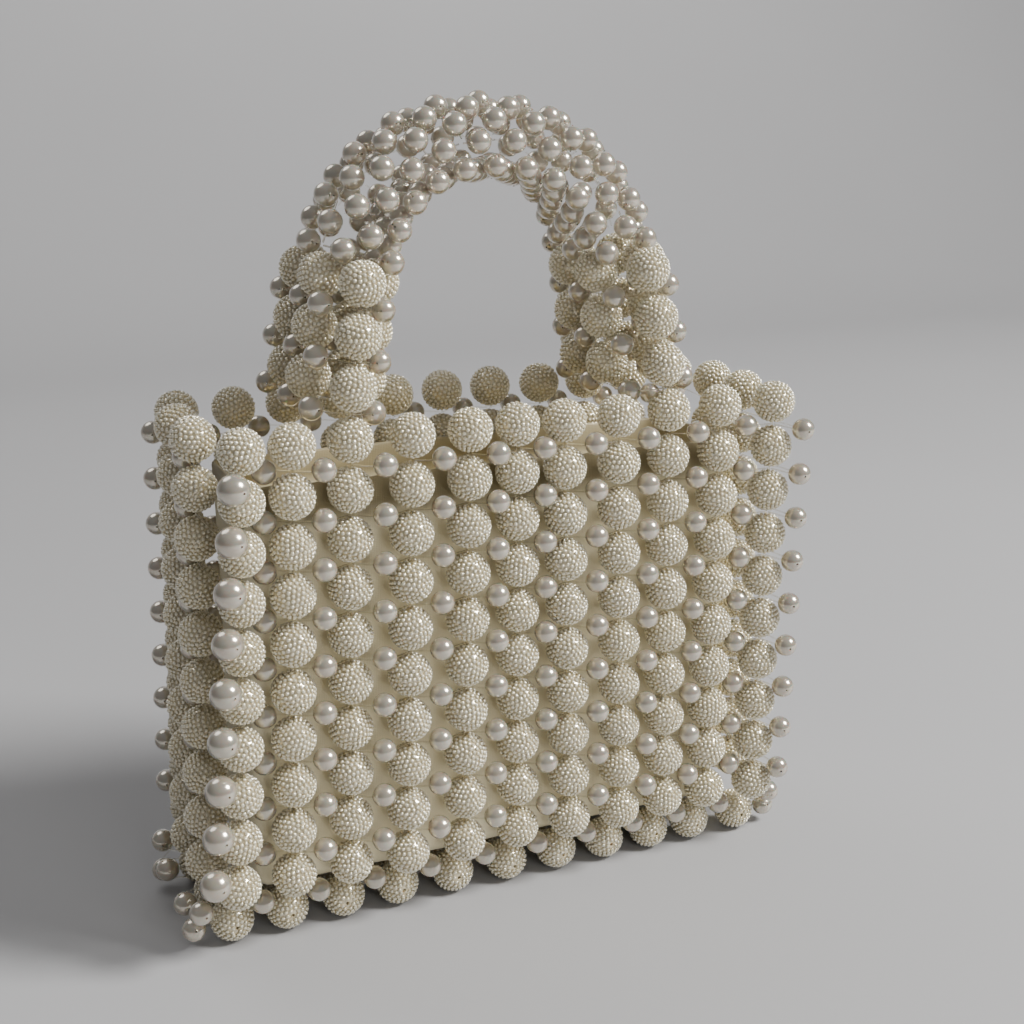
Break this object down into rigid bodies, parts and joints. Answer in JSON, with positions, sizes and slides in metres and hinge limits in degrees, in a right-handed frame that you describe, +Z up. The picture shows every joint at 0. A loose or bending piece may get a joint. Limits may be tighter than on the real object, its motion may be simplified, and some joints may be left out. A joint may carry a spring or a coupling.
{
  "type": "evening bag",
  "caption": "Small rectangular evening bag woven from seed-textured berry beads with smooth pearls at the crossings, open at the top, with one arched pearl handle.",
  "frame": {"origin": "on the ground under the middle of the bag", "axes": "+Z up, front panel toward -Y, width along X"},
  "size_m": [0.173, 0.0673, 0.2046],
  "materials": {
    "berry_bead": "ivory pearlescent seed texture",
    "smooth_pearl": "glossy silvery pearl",
    "clear_thread": "clear monofilament",
    "lining_cloth": "fine beige-gold cloth"
  },
  "bodies": {
    "root": {"front_column_01": "berry_bead", "back_column_01": "berry_bead", "front_column_02": "berry_bead", "back_column_02": "berry_bead", "front_column_03": "berry_bead", "back_column_03": "berry_bead", "front_column_04": "berry_bead", "back_column_04": "berry_bead", "front_column_05": "berry_bead", "back_column_05": "berry_bead", "front_column_06": "berry_bead", "back_column_06": "berry_bead", "front_column_07": "berry_bead", "back_column_07": "berry_bead", "front_column_08": "berry_bead", "back_column_08": "berry_bead", "front_column_09": "berry_bead", "back_column_09": "berry_bead", "front_column_10": "berry_bead", "back_column_10": "berry_bead", "front_column_11": "berry_bead", "back_column_11": "berry_bead", "left_side_column_front": "berry_bead", "left_side_column_back": "berry_bead", "left_side_pearls": "smooth_pearl", "left_leg_column_front": "berry_bead", "left_leg_column_back": "berry_bead", "left_leg_columns_outer": "berry_bead", "left_leg_columns_inner": "berry_bead", "left_leg_pearls": "smooth_pearl", "right_side_column_front": "berry_bead", "right_side_column_back": "berry_bead", "right_side_pearls": "smooth_pearl", "right_leg_column_front": "berry_bead", "right_leg_column_back": "berry_bead", "right_leg_columns_outer": "berry_bead", "right_leg_columns_inner": "berry_bead", "right_leg_pearls": "smooth_pearl", "base_row_front": "berry_bead", "base_row_middle": "berry_bead", "base_row_back": "berry_bead", "front_panel_pearls": "smooth_pearl", "back_panel_pearls": "smooth_pearl", "base_pearls": "smooth_pearl", "handle_round_01": "smooth_pearl", "handle_round_02": "smooth_pearl", "handle_round_03": "smooth_pearl", "handle_round_04": "smooth_pearl", "handle_round_05": "smooth_pearl", "handle_round_06": "smooth_pearl", "handle_round_07": "smooth_pearl", "handle_round_08": "smooth_pearl", "handle_round_09": "smooth_pearl", "handle_round_10": "smooth_pearl", "handle_round_11": "smooth_pearl", "thread_walls": "clear_thread", "thread_base": "clear_thread", "thread_handle": "clear_thread", "lining": "lining_cloth"}
  },
  "joints": []
}
